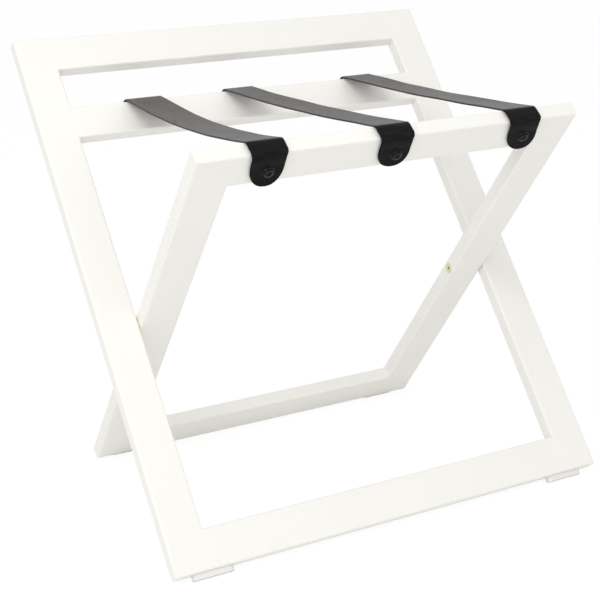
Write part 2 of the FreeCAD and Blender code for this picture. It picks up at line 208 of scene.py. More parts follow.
class Nodes:
    """A shader or geometry tree that is being built."""

    def __init__(self, tree):
        self.tree = tree

    @staticmethod
    def find(sockets, key):
        live = [s for s in sockets if s.enabled]
        return live[key] if isinstance(key, int) else next(s for s in live if s.name == key)

    def add(self, kind, inputs=None, output=0, **settings):
        """One node: its settings first, then the values or links of its sockets. Gives one output."""
        node = self.tree.nodes.new(kind)
        for name, value in settings.items():
            if name == "cases":
                for _ in range(value - 2):
                    node.index_switch_items.new()
            else:
                setattr(node, name, value)
        for key, value in (inputs or {}).items():
            socket = self.find(node.inputs, key)
            for one in value if isinstance(value, list) else [value]:
                if isinstance(one, Value):
                    self.tree.links.new(one.socket, socket)
                else:
                    socket.default_value = one
        return Value(self, self.find(node.outputs, output)) if node.outputs else None


# ---- materials ------------------------------------------------------------------------------------
def new_material(name):
    material = bpy.data.materials.new(name)
    material.use_nodes = True
    material.node_tree.nodes.clear()
    return material, Nodes(material.node_tree)


def close_material(nodes, shader):
    nodes.add("ShaderNodeOutputMaterial", {"Surface": shader})


def rgba(colour, factor=1.0):
    return (*(factor * c for c in colour[:3]), 1.0)


def cloud(nodes, vector, scale, detail=3.0, roughness=0.55, distortion=0.0):
    """Fractal noise from 0 to 1. scale is in cells per metre, one number or one for each axis."""
    if isinstance(scale, tuple):
        vector = nodes.add("ShaderNodeVectorMath", {0: vector, 1: scale}, operation="MULTIPLY")
        scale = 1.0
    return nodes.add("ShaderNodeTexNoise", {
        "Vector": vector, "Scale": scale, "Detail": detail, "Roughness": roughness, "Distortion": distortion})


def mixed(nodes, factor, first, second):
    return nodes.add("ShaderNodeMix", {"Factor": factor, "A": first, "B": second}, data_type="RGBA")


def relief(nodes, height):
    """A normal from a height in metres."""
    return nodes.add("ShaderNodeBump", {"Height": height, "Distance": 1.0, "Strength": 1.0})


def principled(nodes, sockets):
    return nodes.add("ShaderNodeBsdfPrincipled", sockets)


def lacquer_material(name, look, lean, along_x):
    """Opaque lacquer on wood: the grain faintly raised along the board, the spray's fine ripple, handling marks."""
    material, nodes = new_material(name)
    place = nodes.add("ShaderNodeTexCoord", output="Object")
    board = nodes.add("ShaderNodeMapping", {"Vector": place, "Rotation": (math.radians(lean), 0.0, 0.0)})
    grain_way = (7.0, 260.0, 260.0) if along_x else (260.0, 260.0, 7.0)
    grain = cloud(nodes, board, grain_way, detail=4.0, roughness=0.6)
    pores = cloud(nodes, board, tuple(2.5 * f for f in grain_way), detail=2.0)
    ripple = cloud(nodes, place, 520.0, detail=1.5)
    patch = cloud(nodes, place, 9.0, detail=2.0)
    smear = cloud(nodes, place, 38.0, detail=4.0, distortion=0.6)

    height = (grain * look.grain_height
              - pores.between(0.62, 0.78) * (0.6 * look.grain_height)
              + ripple * look.ripple_height)
    tone = (patch - 0.5) * 0.9 + (grain - 0.5) * 0.35 + 0.5
    colour = mixed(nodes, tone, rgba(look.colour, 0.972), rgba(look.colour, 1.012))

    above_floor = nodes.add("ShaderNodeSeparateXYZ", {0: place}, output="Z")
    scuffs = (cloud(nodes, place, (60.0, 60.0, 210.0), detail=5.0).between(0.60, 0.70)
              * (1.0 - above_floor.between(0.012, 0.055)))
    colour = mixed(nodes, scuffs * 0.05, colour, FLOOR_DIRT)
    roughness = (look.roughness + (smear - 0.5) * 0.16 + (ripple - 0.5) * 0.05
                 + scuffs * 0.12).at_most(0.85)
    close_material(nodes, principled(nodes, {
        "Base Color": colour, "Roughness": roughness, "Normal": relief(nodes, height),
        "IOR": 1.5, "Specular IOR Level": 0.42}))
    return material


def leather_material(look):
    """Black bridle leather: fine pebbles, creases where it bends, duller ends, a rough flesh side, rubbed edges, a
    painted sheen on the span and painted shade on the tongues.
    """
    material, nodes = new_material("bridle_leather")
    uv = nodes.add("ShaderNodeUVMap", uv_map="strap")

    def mark(name):
        return nodes.add("ShaderNodeAttribute", output="Fac", attribute_name=name)

    bend, flesh, rim, tongue, span, satin = (mark(n) for n in ("bend", "flesh", "rim", "tongue", "span", "satin"))
    warp = cloud(nodes, uv, 120.0, detail=2.0)
    pebbles = nodes.add("ShaderNodeTexVoronoi", {"Vector": uv, "Scale": 1.0 / look.pebble_size, "Randomness": 0.95},
                        output="Distance", feature="SMOOTH_F1")
    pores = cloud(nodes, uv, 2600.0, detail=2.0)
    folds = cloud(nodes, uv, (55.0, 620.0, 1.0), detail=3.0, distortion=0.5)
    waves = cloud(nodes, uv, (22.0, 14.0, 1.0), detail=2.0)
    nap = cloud(nodes, uv, (900.0, 500.0, 1.0), detail=4.0, roughness=0.7)
    rubbed = cloud(nodes, uv, (110.0, 16.0, 1.0), detail=3.0, distortion=0.3)

    grain_side = 1.0 - flesh
    height = grain_side * (
        (1.0 - pebbles) * (look.pebble_height * (0.7 + 0.6 * warp))
        + pores * (0.15 * look.pebble_height)
        - folds.between(0.52, 0.74) * bend * look.crease_depth
    ) + flesh * nap * 0.00012 + waves * 0.00035
    scuffs = rubbed.between(0.60, 0.72) * span * grain_side
    colour = mixed(nodes, (warp - 0.5) * 1.2 + 0.5, rgba(look.colour, 0.8), rgba(look.colour, 1.25))
    colour = mixed(nodes, scuffs * 0.10, colour, LEATHER_SCUFF)
    colour = mixed(nodes, bend * folds.between(0.45, 0.7) * grain_side * 0.35, colour, LEATHER_CREASE)
    colour = mixed(nodes, flesh * 0.9, colour, LEATHER_FLESH)
    colour = mixed(nodes, rim * 0.6, colour, LEATHER_RIM)
    roughness = (look.roughness + (warp - 0.5) * 0.10 + tongue * 0.10 + scuffs * 0.12
                 + flesh * 0.35 + rim * 0.08).at_most(0.95)
    # Painted sheen: where the satin mark is high, the span is mixed towards a lighter warm grey, partly faded
    # leather and partly painted sheen.
    colour = mixed(nodes, satin * 0.7, colour, rgba(look.span_colour))
    # Painted shade: the tongues are pulled half way to near black.
    colour = mixed(nodes, tongue * 0.5, colour, LEATHER_TONGUE_SHADE)
    normal = relief(nodes, height)
    surface = {"Base Color": colour, "Roughness": roughness, "Normal": normal, "IOR": 1.5}
    dull = principled(nodes, {**surface, "Specular IOR Level": look.dull_gloss})
    waxed = principled(nodes, {**surface, "Specular IOR Level": look.gloss})
    close_material(nodes, nodes.add("ShaderNodeMixShader", {0: satin, 1: dull, 2: waxed}))
    return material


def black_metal_material(look):
    """Black oxide on steel: a satin film, rubbed thin on the cups' rolled rims and mouths, where the bare steel
    also paints glint lines.
    """
    material, nodes = new_material("black_oxide")
    place = nodes.add("ShaderNodeTexCoord", output="Object")
    film = cloud(nodes, place, 900.0, detail=3.0)
    speck = cloud(nodes, place, 3200.0, detail=2.0)
    worn = film.between(0.56, 0.70)
    rubbed = nodes.add("ShaderNodeAttribute", output="Fac", attribute_name="rubbed")
    # Painted highlight: the rubbed rim rows turn to bare steel, partly as wear and partly as painted glint lines.
    bare_and_glint = rubbed * film.between(0.36, 0.60)
    colour = mixed(nodes, worn * 0.5, rgba(look.black), rgba(look.black, 2.6))
    colour = mixed(nodes, bare_and_glint, colour, rgba(look.bare_steel))
    close_material(nodes, principled(nodes, {
        "Base Color": colour, "Metallic": worn * 0.08 + bare_and_glint * 0.6,
        "Roughness": look.black_roughness + (speck - 0.5) * 0.16,
        "Normal": relief(nodes, speck * 0.000006), "IOR": 1.5, "Specular IOR Level": 0.10}))
    return material


def brass_material(look):
    """Pale brass plating: turned marks, a few tarnished specks."""
    material, nodes = new_material("pale_brass")
    place = nodes.add("ShaderNodeTexCoord", output="Object")
    tarnish = cloud(nodes, place, 420.0, detail=4.0)
    turned_marks = cloud(nodes, place, (2200.0, 300.0, 300.0), detail=2.0)
    colour = mixed(nodes, tarnish.between(0.50, 0.72) * 0.6, rgba(look.brass), rgba(look.brass, 0.55))
    close_material(nodes, principled(nodes, {
        "Base Color": colour, "Metallic": 1.0 - tarnish.between(0.62, 0.8) * 0.3,
        "Roughness": look.brass_roughness + (tarnish - 0.5) * 0.25,
        "Normal": relief(nodes, turned_marks * 0.000008)}))
    return material


def glide_material(look):
    """Moulded nylon: matt with a fine spark-eroded skin, dirty and scratched on the sole."""
    material, nodes = new_material("glide_nylon")
    place = nodes.add("ShaderNodeTexCoord", output="Object")
    skin = cloud(nodes, place, 1900.0, detail=2.0)
    cloudy = cloud(nodes, place, 60.0, detail=3.0)
    scratch = cloud(nodes, place, (90.0, 900.0, 900.0), detail=3.0)
    sole = 1.0 - nodes.add("ShaderNodeSeparateXYZ", {0: place}, output="Z").between(0.0002, 0.0022)
    colour = mixed(nodes, cloudy, rgba(look.colour, 0.93), rgba(look.colour))
    colour = mixed(nodes, sole * scratch.between(0.35, 0.65), colour, SOLE_DIRT)
    close_material(nodes, principled(nodes, {
        "Base Color": colour, "Roughness": 0.52 + (skin - 0.5) * 0.2 + sole * 0.2,
        "Normal": relief(nodes, skin * 0.00002 - sole * scratch * 0.00005),
        "IOR": 1.53, "Specular IOR Level": 0.45}))
    return material


# ---- placing --------------------------------------------------------------------------------------
def turn_2d(point, angle):
    """A (y, z) point turned about the pivot axis, as a frame is leaned."""
    y, z = point
    c, s = math.cos(math.radians(angle)), math.sin(math.radians(angle))
    return Vector((y * c - z * s, y * s + z * c))


def leaned(x, y, z, angle):
    """A point of an upright frame, once that frame leans."""
    flat = turn_2d((y, z), angle)
    return Vector((x, flat.x + PIVOT.y, flat.y + PIVOT.z))


def link_mesh(name, mesh, material):
    piece = bpy.data.objects.new(name, mesh)
    bpy.context.scene.collection.objects.link(piece)
    if not mesh.materials:
        mesh.materials.append(material)
    return piece


def dress_node(name, material):
    """Gives a node of the solid model its finish."""
    node = frame["nodes"][name]
    node.data.materials.clear()
    node.data.materials.append(material)


def settled(piece, body, slot, *nodes):
    """The last calls for a finished rigid piece."""
    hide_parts(*nodes)
    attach(piece, body)


# ---- straps ---------------------------------------------------------------------------------------
def left_of(direction):
    return Vector((-direction.y, direction.x))


def cross_2d(a, b):
    return a.x * b.y - a.y * b.x


def line_over(corner, direction, stand_off=0.0):
    """The strap's middle line where it lies over an eased edge: a point and a direction."""
    return corner + left_of(direction) * (OVER_EDGE + stand_off), direction


def crossing(first, second):
    (p, d), (q, e) = first, second
    return p + d * (cross_2d(q - p, e) / cross_2d(d, e))


def strap_corners(place, look):
    """The corners of the middle line in (y, z) about the pivot. Stiff leather stands off the rails by its bows."""
    bow, back_bow = look.bow, look.back_bow
    inset = HALF_T - EDGE_EASE
    inner_front = turn_2d((-inset, INNER_TOP - EDGE_EASE), LEAN)
    inner_back = turn_2d((inset, INNER_TOP - EDGE_EASE), LEAN)
    outer_front = turn_2d((-inset, STRAP_RAIL_TOP - EDGE_EASE), -LEAN)
    outer_back = turn_2d((inset, STRAP_RAIL_TOP - EDGE_EASE), -LEAN)
    up_inner, over_inner = turn_2d((0, 1), LEAN), turn_2d((1, 0), LEAN)
    over_outer, down_outer = turn_2d((1, 0), -LEAN), turn_2d((0, -1), -LEAN)
    span = outer_front - inner_back
    dip = math.degrees(math.atan2(place.sag / (1 - SAG_BLEND / 2), span.length / 2))
    along = math.degrees(math.atan2(span.y, span.x))
    lines = [
        line_over(inner_front, up_inner, look.tongue_bow),
        line_over(inner_front, over_inner, 2.2 * bow),
        line_over(inner_back, turn_2d((1, 0), along - dip)),
        line_over(outer_front, turn_2d((1, 0), along + dip), 0.4 * back_bow),
        line_over(outer_back, over_outer, back_bow),
        line_over(outer_back, down_outer, back_bow),
    ]
    corners = [crossing(a, b) for a, b in zip(lines, lines[1:])]
    above_edge = STRAP_CLEAR + STRAP_T / 2
    start = corners[0] - up_inner * (above_edge + bow + place.tongue)
    finish = corners[-1] + down_outer * (above_edge + back_bow + BACK_TONGUE)
    return [start] + corners + [finish]


class BentLine:
    """Straight runs joined by arcs in the YZ plane, read by the length from the front tip."""

    def __init__(self, corners, radii):
        self.runs = []   # (from length, length, point, direction, curvature)
        self.length = 0.0
        here = corners[0]
        for before, corner, after, radius in zip(corners, corners[1:], corners[2:], radii):
            arrive, leave = (corner - before).normalized(), (after - corner).normalized()
            turn = math.atan2(cross_2d(arrive, leave), arrive.dot(leave))
            reach = radius * math.tan(abs(turn) / 2)
            arc_start = corner - arrive * reach
            self.add(here, arrive, (arc_start - here).length, 0.0)
            self.add(arc_start, arrive, radius * abs(turn), math.copysign(1 / radius, turn))
            here = corner + leave * reach
        last = (corners[-1] - corners[-2]).normalized()
        self.add(here, last, (corners[-1] - here).length, 0.0)

    def add(self, point, direction, length, curvature):
        self.runs.append((self.length, length, point, direction, curvature))
        self.length += length

    def at(self, s):
        """Point and direction at a length."""
        run = next((r for r in self.runs if s <= r[0] + r[1]), self.runs[-1])
        along, point, direction, bend = s - run[0], run[2], run[3], run[4]
        if not bend:
            return point + direction * along, direction
        angle = bend * along
        moved = point + direction * (math.sin(angle) / bend) + left_of(direction) * ((1 - math.cos(angle)) / bend)
        turned = direction * math.cos(angle) + left_of(direction) * math.sin(angle)
        return moved, turned

    def stations(self, coarse, turn_step, start, end):
        """Lengths between start and end, close together where the line bends."""
        marks = [start, end]
        for begin, length, _, _, bend in self.runs:
            step = min(coarse, math.radians(turn_step) / abs(bend)) if bend else coarse
            count = max(1, math.ceil(length / step))
            marks += [begin + length * i / count for i in range(count + 1)]
        marks = sorted(m for m in marks if start <= m <= end)
        kept = [marks[0]]
        for m in marks[1:]:
            if m - kept[-1] > 0.25 * MM:
                kept.append(m)
        kept[-1] = end
        return kept


def smooth_step(value, low, high):
    t = min(1.0, max(0.0, (value - low) / (high - low)))
    return t * t * (3 - 2 * t)


def plateau(value, rise_from, rise_to, fall_from, fall_to):
    """1 between the rise and the fall, 0 outside them."""
    return smooth_step(value, rise_from, rise_to) * (1 - smooth_step(value, fall_from, fall_to))


class StrapForm:
    """One strap laid over both rails: takes a place on the flat strap to a place on the bench."""

    def __init__(self, place, look):
        self.place = place
        self.look = look
        corners = strap_corners(place, look)
        dip = corners[3] - corners[2]
        rise = corners[4] - corners[3]
        half_turn = dip.angle(rise) / 2
        radii = [OVER_EDGE + 2.0 * look.bow, OVER_EDGE + 1.5 * look.bow,
                 SAG_BLEND * dip.length / math.tan(half_turn),
                 OVER_EDGE + 3.0 * look.back_bow, OVER_EDGE + 3.2 * look.back_bow]
        self.line = BentLine(corners, radii)
        self.length = self.line.length
        self.bends = [r[0] + r[1] / 2 for r in self.line.runs if abs(r[4]) > TIGHT_BEND]
        self.span = (self.bends[1] + 3 * MM, self.bends[2] - 3 * MM)
        self.front_root = place.tongue - EDGE_EASE
        self.back_root = self.length - (BACK_TONGUE - EDGE_EASE)
        self.screws = [
            (place.tongue - place.screw_depth, place.screw_x),
            (self.length - BACK_TONGUE + BACK_SCREW_DEPTH, place.back_screw_x),
        ]

    def middle(self, s, y):
        """X of the strap's middle: square to the rails at both ends, slanting between, leaning down the tongue."""
        place = self.place
        t = (y - SLANT_FROM) / (SLANT_TO - SLANT_FROM)
        ease = 0.08
        if t < -ease or t > 1 + ease:
            t = min(1.0, max(0.0, t))
        elif t < ease:
            t = (t + ease) ** 2 / (4 * ease)
        elif t > 1 - ease:
            t = 1 - (1 + ease - t) ** 2 / (4 * ease)
        x = place.front_x + (place.back_x - place.front_x) * t
        down_tongue = max(0.0, self.front_root - s)
        return x + (place.tip_x - place.front_x) * down_tongue / self.front_root

    def lie(self, s, u, h):
        """The point at length s, u to the right of the middle and h out of the middle surface."""
        flat, direction = self.line.at(min(max(s, 0.0), self.length))
        normal = left_of(direction)
        y = flat.x + PIVOT.y
        x = self.middle(s, y) + u * self.broadening(s)
        h += self.softness(s, u, x) - self.pulled_down(s, x)
        return Vector((x, y + normal.x * h, flat.y + PIVOT.z + normal.y * h))

    def broadening(self, s):
        """The strap's width against STRAP_W: it flattens where it bends at the front and may spread to the back."""
        share = min(1.0, max(0.0, (s - self.span[0]) / (self.span[1] - self.span[0])))
        pressed = plateau(s, self.bends[0] - 6 * MM, self.bends[0] + 2 * MM,
                          self.bends[1] + 2 * MM, self.bends[1] + 60 * MM)
        return 1 + (self.place.spread - 1) * share + self.look.bend_spread * pressed

    def pulled_down(self, s, x):
        """How far the screws pull the tongues back to the wood from where the bows would leave them."""
        down = 4 * MM, 17 * MM
        screw_s, screw_x = self.screws[0]
        dimple = math.exp(-(math.hypot(s - screw_s, x - screw_x) / DIMPLE_R) ** 2)
        return (self.look.tongue_bow * smooth_step(self.front_root - s, *down) * (0.45 + 0.55 * dimple)
                + self.look.back_bow * smooth_step(s - self.back_root, *down))

    def softness(self, s, u, x):
        """What a new strap's exact form lacks: puffing round the washers, a lifting tip, a slow cross curl."""
        outward = 0.0
        for screw_s, screw_x in self.screws:
            away = math.hypot(s - screw_s, x - screw_x)
            outward += self.look.washer_puff * math.exp(-((away - PUFF_RING) / PUFF_WIDTH) ** 2)
        lifted = 18 * MM
        tip = smooth_step(lifted - s, 0.0, lifted)
        outward += self.look.tip_lift * tip * tip
        in_span = plateau(s, self.span[0], self.span[0] + 40 * MM, self.span[1] - 40 * MM, self.span[1])
        curl = noise.noise(Vector((s * 9.0, self.place.seed, 0.0)))
        across = (2 * u / STRAP_W) ** 2
        outward += in_span * (0.0005 + 0.0006 * curl) * (across - 0.4)
        outward += in_span * 0.0007 * noise.noise(Vector((s * 16.0, u * 30.0, self.place.seed + 5.0)))
        return outward


def strap_outline(form):
    """The flat strap's edge as (s, half width, normal along, normal across) from the front tip to the back tip."""
    half = STRAP_W / 2
    steps = 15
    turns = [math.radians(90 * i / steps) for i in range(steps)]
    full = 2 / TIP_FULLNESS

    def rounded(end):
        """A quarter of a blunt oval, from the tip to the full width."""
        return [(end * (1 - math.cos(t) ** full), half * math.sin(t) ** full,
                 -half * math.cos(t) ** (2 - full), end * math.sin(t) ** (2 - full)) for t in turns]

    front = rounded(form.place.end)
    sides = [(s, half, 0.0, 1.0) for s in form.line.stations(
        coarse=3.0 * MM, turn_step=10.0, start=form.place.end, end=form.length - BACK_END)]
    back = [(form.length - s, w, -a, b) for s, w, a, b in reversed(rounded(BACK_END))]
    outline = []
    for s, w, along, across in front + sides + back:
        size = math.hypot(along, across)
        outline.append((s, w, along / size, across / size))
    return outline


def edge_rings(look):
    """The strap's edge in section, from the grain side to the flesh side: (inset, height)."""
    r = look.edge_rounding
    turns = [math.radians(a) for a in (0, 30, 60, 90)]
    upper = [(r * (1 - math.sin(t)), STRAP_T / 2 - r * (1 - math.cos(t))) for t in turns]
    return upper + [(inset, -height) for inset, height in reversed(upper)]


def strap_mesh(name, form):
    """A closed strap: rings round the edge, then rows across the grain side and the flesh side."""
    outline = strap_outline(form)
    rings = edge_rings(form.look)
    last = len(outline) - 1
    places, faces = [], []   # places are (s, u, h)

    def point(i, side, inset, height):
        s, w, along, across = outline[i]
        places.append((s - along * inset, side * (w - across * inset), height))
        return len(places) - 1

    right = list(range(last + 1))
    loop = [(i, -1) for i in right] + [(i, 1) for i in reversed(right[1:-1])]
    ring_points = [[point(i, side, inset, height) for i, side in loop] for inset, height in rings]
    for upper, lower in zip(ring_points, ring_points[1:]):
        for k in range(len(loop)):
            n = (k + 1) % len(loop)
            faces.append((upper[k], upper[n], lower[n], lower[k]))

    near_edge = 0.9 * MM
    across_count = 14
    for ring, height, flip in ((ring_points[0], STRAP_T / 2, False), (ring_points[-1], -STRAP_T / 2, True)):
        rows = [[ring[0]]]
        for i in range(1, last):
            left, right_end = ring[i], ring[len(loop) - i]
            s, edge = places[left][0], places[right_end][1]
            inner = max(edge - near_edge, edge * 0.5)
            row = [left]
            for j in range(across_count + 1):
                places.append((s, inner * (2 * j / across_count - 1), height))
                row.append(len(places) - 1)
            rows.append(row + [right_end])
        rows.append([ring[last]])
        for a, b in zip(rows, rows[1:]):
            if len(a) == 1:
                made = [(a[0], b[j + 1], b[j]) for j in range(len(b) - 1)]
            elif len(b) == 1:
                made = [(a[j], a[j + 1], b[0]) for j in range(len(a) - 1)]
            else:
                made = [(a[j], a[j + 1], b[j + 1], b[j]) for j in range(len(a) - 1)]
            faces += [tuple(reversed(f)) for f in made] if flip else made

    mesh = bpy.data.meshes.new(name)
    mesh.from_pydata([form.lie(*p) for p in places], [], faces)
    shape = bmesh.new()
    shape.from_mesh(mesh)
    bmesh.ops.recalc_face_normals(shape, faces=shape.faces)
    shape.to_mesh(mesh)
    shape.free()
    mesh.shade_smooth()
    mark_strap(mesh, form, places)
    return mesh


def mark_strap(mesh, form, places):
    """A UV map in metres, and how much each point bends, hangs free, shines (which also carries a painted sheen in
    the colour), or is tongue (painted darker as shade), edge or flesh.
    """
    uv = mesh.uv_layers.new(name="strap")
    for loop in mesh.loops:
        s, u, _ = places[loop.vertex_index]
        uv.data[loop.index].uv = (u + form.place.seed * 0.1, s)
    face, bends, span = STRAP_T / 2, form.bends, form.span
    marks = {
        "bend": lambda s, h: math.exp(-(min(abs(s - b) for b in bends) / (4.5 * MM)) ** 2),
        "flesh": lambda s, h: 1.0 - smooth_step(h, -face, -face + 0.4 * MM),
        "rim": lambda s, h: 1.0 - smooth_step(abs(h), face - 0.35 * MM, face),
        "tongue": lambda s, h: 1.0 - smooth_step(s, bends[0] - 6 * MM, bends[0]),
        "span": lambda s, h: plateau(s, span[0], span[0] + 30 * MM, span[1] - 30 * MM, span[1]),
        # The satin mark also carries the span's painted sheen colour.
        "satin": lambda s, h: plateau(s, bends[1] - 3 * MM, bends[1] + 6 * MM, bends[2], bends[3]),
    }
    for name, mark in marks.items():
        values = [mark(s, h) for s, _, h in places]
        mesh.attributes.new(name, "FLOAT", "POINT").data.foreach_set("value", values)


def flat_size(form):
    """Width, length and area of a strap before it was bent: it widens along the span and has rounded ends."""
    front, back = STRAP_W, STRAP_W * form.place.spread
    share = math.gamma(1 + 1 / TIP_FULLNESS) ** 2 / math.gamma(1 + 2 / TIP_FULLNESS)
    missing = (front * form.place.end + back * BACK_END) * (1 - share)
    return max(front, back), form.length, (front + back) / 2 * form.length - missing


def turning_range(form):
    """The stretch along Y over which a strap turns from the inner frame to the outer one.

    It begins on the rails' tops, chosen for the span to fold down into the gap between the closed frames and for
    the tongues, which hang inside it too, to come off the rails as the frames close; this script only works it out
    and folds nothing by it.
    """
    (front, _), (back, _) = (form.line.at(s) for s in form.span)
    free = back.x - front.x
    level = (front.y + back.y) / 2 + PIVOT.z
    start = (0.0, front.x - TURN_IN_FRONT * free + PIVOT.y, level)
    return start, (0.0, back.x + TURN_BEHIND * free + PIVOT.y, level)


# ---- turned fixings -------------------------------------------------------------------------------
FEWEST_FACES = 50   # of one fixing: fewer mean that its tree gave nothing


def add_input(tree, name, kind, value=None):
    socket = tree.interface.new_socket(name=name, in_out="INPUT", socket_type="NodeSocket" + kind)
    if value is not None:
        socket.default_value = value


def turned_form(nodes, profile, rubbed=(), segments=48):
    """A solid of revolution about Z from (radius, height) pairs, which may be sums of the tree's inputs.

    rubbed lists the pairs where the coating has gone; on the black fixings those rows also paint glint lines.
    """
    rows = len(profile)
    sheet = nodes.add("GeometryNodeMeshGrid", {
        "Size X": 1.0, "Size Y": 1.0, "Vertices X": segments + 1, "Vertices Y": rows}, output="Mesh")
    index = nodes.add("GeometryNodeInputIndex")
    column = (index / rows).maths("FLOOR", index / rows)
    row = index - column * rows
    angle = column * (2 * math.pi / segments)

    def chosen(values):
        cases = {"Index": row}
        cases.update({str(i): v for i, v in enumerate(values)})
        return nodes.add("GeometryNodeIndexSwitch", cases, data_type="FLOAT", cases=rows)

    radius = chosen([r for r, _ in profile])
    height = chosen([z for _, z in profile])
    place = nodes.add("ShaderNodeCombineXYZ", {
        "X": radius * angle.maths("COSINE", angle), "Y": radius * angle.maths("SINE", angle), "Z": height})
    bent = nodes.add("GeometryNodeSetPosition", {"Geometry": sheet, "Position": place})
    marked = nodes.add("GeometryNodeStoreNamedAttribute", {
        "Geometry": bent, "Name": "rubbed", "Value": chosen([float(i in rubbed) for i in range(rows)])},
        data_type="FLOAT", domain="POINT")
    return nodes.add("GeometryNodeMergeByDistance", {"Geometry": marked, "Distance": 0.000004})


def placed_and_closed(nodes, form, group_input):
    """Instances the form on the points, faces it along their "facing", rolls each by chance, closes the tree."""
    facing = nodes.add("GeometryNodeInputNamedAttribute", {"Name": "facing"}, output="Attribute",
                       data_type="FLOAT_VECTOR")
    turn = nodes.add("FunctionNodeAlignRotationToVector", {"Vector": facing}, axis="Z")
    copies = nodes.add("GeometryNodeInstanceOnPoints", {"Points": group_input, "Instance": form, "Rotation": turn})
    roll = nodes.add("FunctionNodeRandomValue", {
        "Min": 0.0, "Max": 2 * math.pi, "Seed": group_input.out("Seed")}, output="Value", data_type="FLOAT")
    spin = nodes.add("ShaderNodeCombineXYZ", {"Z": roll})
    rolled = nodes.add("GeometryNodeRotateInstances", {
        "Instances": copies, "Rotation": spin, "Local Space": True})
    real = nodes.add("GeometryNodeRealizeInstances", {"Geometry": rolled})
    smooth = nodes.add("GeometryNodeSetShadeSmooth", {"Geometry": real, "Shade Smooth": True})
    coated = nodes.add("GeometryNodeSetMaterial", {"Geometry": smooth, "Material": group_input.out("Finish")})
    nodes.add("NodeGroupOutput", {"Geometry": coated})


def fixing_tree(name, sizes, make_form):
    """A Geometry Nodes tree that puts one turned fixing on each point. sizes are its named inputs, in metres."""
    tree = bpy.data.node_groups.new(name, "GeometryNodeTree")
    add_input(tree, "Geometry", "Geometry")
    tree.interface.new_socket(name="Geometry", in_out="OUTPUT", socket_type="NodeSocketGeometry")
    for label, value in sizes.items():
        add_input(tree, label, "Float", value)
    add_input(tree, "Seed", "Int", 1)
    add_input(tree, "Finish", "Material")
    nodes = Nodes(tree)
    group_input = nodes.add("NodeGroupInput", output="Geometry")
    form = make_form(nodes, {label: group_input.out(label) for label in sizes})
    placed_and_closed(nodes, form, group_input)
    return tree


def strap_screw_form(nodes, size):
    """A raised countersunk wood screw, its cup's base at height 0, with a cross recess."""
    head, rim, dome = size["Head radius"], size["Rim height"], size["Dome"]
    shank, length = size["Shank radius"], size["Length"]
    crown = rim + dome
    body = turned_form(nodes, [
        (0.0, crown), (head * 0.35, crown - dome * 0.10), (head * 0.65, crown - dome * 0.38),
        (head * 0.88, rim + dome * 0.26), (head * 0.975, rim + dome * 0.06), (head, rim - 0.00012),
        (head * 0.985, rim - 0.00030), (shank * 1.05, 0.0), (shank, -0.0006), (shank, 0.002 - length),
        # Row 4, the head's rim, is rubbed: wear and a painted glint line.
        (shank * 0.4, -length), (0.0, -length)], rubbed=(4,))
    slots = []
    for long_x, long_y in ((1.0, 0.2), (0.2, 1.0)):
        arm = nodes.add("ShaderNodeCombineXYZ", {
            "X": head * (0.98 * long_x), "Y": head * (0.98 * long_y), "Z": size["Recess depth"] * 2})
        block = nodes.add("GeometryNodeMeshCube", {"Size": arm}, output="Mesh")
        lift = nodes.add("ShaderNodeCombineXYZ", {"Z": crown})
        slots.append(nodes.add("GeometryNodeTransform", {"Geometry": block, "Translation": lift}))
    return nodes.add("GeometryNodeMeshBoolean", {"Mesh 1": body, "Mesh 2": slots}, output="Mesh",
                     operation="DIFFERENCE")


def cup_washer_form(nodes, size):
    """A pressed finishing cup: a rolled rim, a low dome and a hollow cone that takes the screw's head."""
    outer, mouth, bore, high = (size[n] for n in ("Rim radius", "Mouth radius", "Bore radius", "Height"))
    wall = outer - mouth
    return turned_form(nodes, [
        (bore, 0.0), (outer - 0.0003, 0.0), (outer - 0.00005, 0.00012), (outer, 0.00035),
        (outer - 0.00010, 0.00062), (outer - 0.00035, 0.00082), (outer - wall * 0.36, high * 0.48),
        (outer - wall * 0.62, high * 0.76), (mouth + wall * 0.18, high * 0.965), (mouth + wall * 0.08, high),
        (mouth + 0.00002, high - 0.00010), (mouth - 0.00022, high - 0.00036), (bore, 0.00006), (bore, 0.0)],
        # Rows 4 and 9, the rolled rim and the lip, are rubbed: wear and painted glint lines.
        rubbed=(4, 9))


def pivot_screw_form(nodes, size):
    """A flat countersunk machine screw with a hexagon socket, its face at height 0."""
    head, shank, length = (size[n] for n in ("Head radius", "Shank radius", "Length"))
    body = turned_form(nodes, [
        (0.0, 0.0), (head - 0.00045, 0.0), (head - 0.00012, -0.00012), (head, -0.00040), (head, -0.00055),
        (shank, -0.00055 - (head - shank)), (shank, 0.0006 - length), (shank - 0.0006, -length), (0.0, -length)])
    socket = nodes.add("GeometryNodeMeshCylinder", {
        "Vertices": 6, "Radius": size["Socket across flats"] / math.sqrt(3), "Depth": size["Socket depth"] * 2},
        output="Mesh")
    mouth = nodes.add("GeometryNodeMeshCone", {
        "Vertices": 36, "Radius Top": size["Socket across flats"] * 0.68,
        "Radius Bottom": size["Socket across flats"] * 0.50, "Depth": 0.0006}, output="Mesh")
    lowered = nodes.add("GeometryNodeTransform", {"Geometry": mouth, "Translation": (0.0, 0.0, -0.0004)})
    return nodes.add("GeometryNodeMeshBoolean", {"Mesh 1": body, "Mesh 2": [socket, lowered]}, output="Mesh",
                     operation="DIFFERENCE")


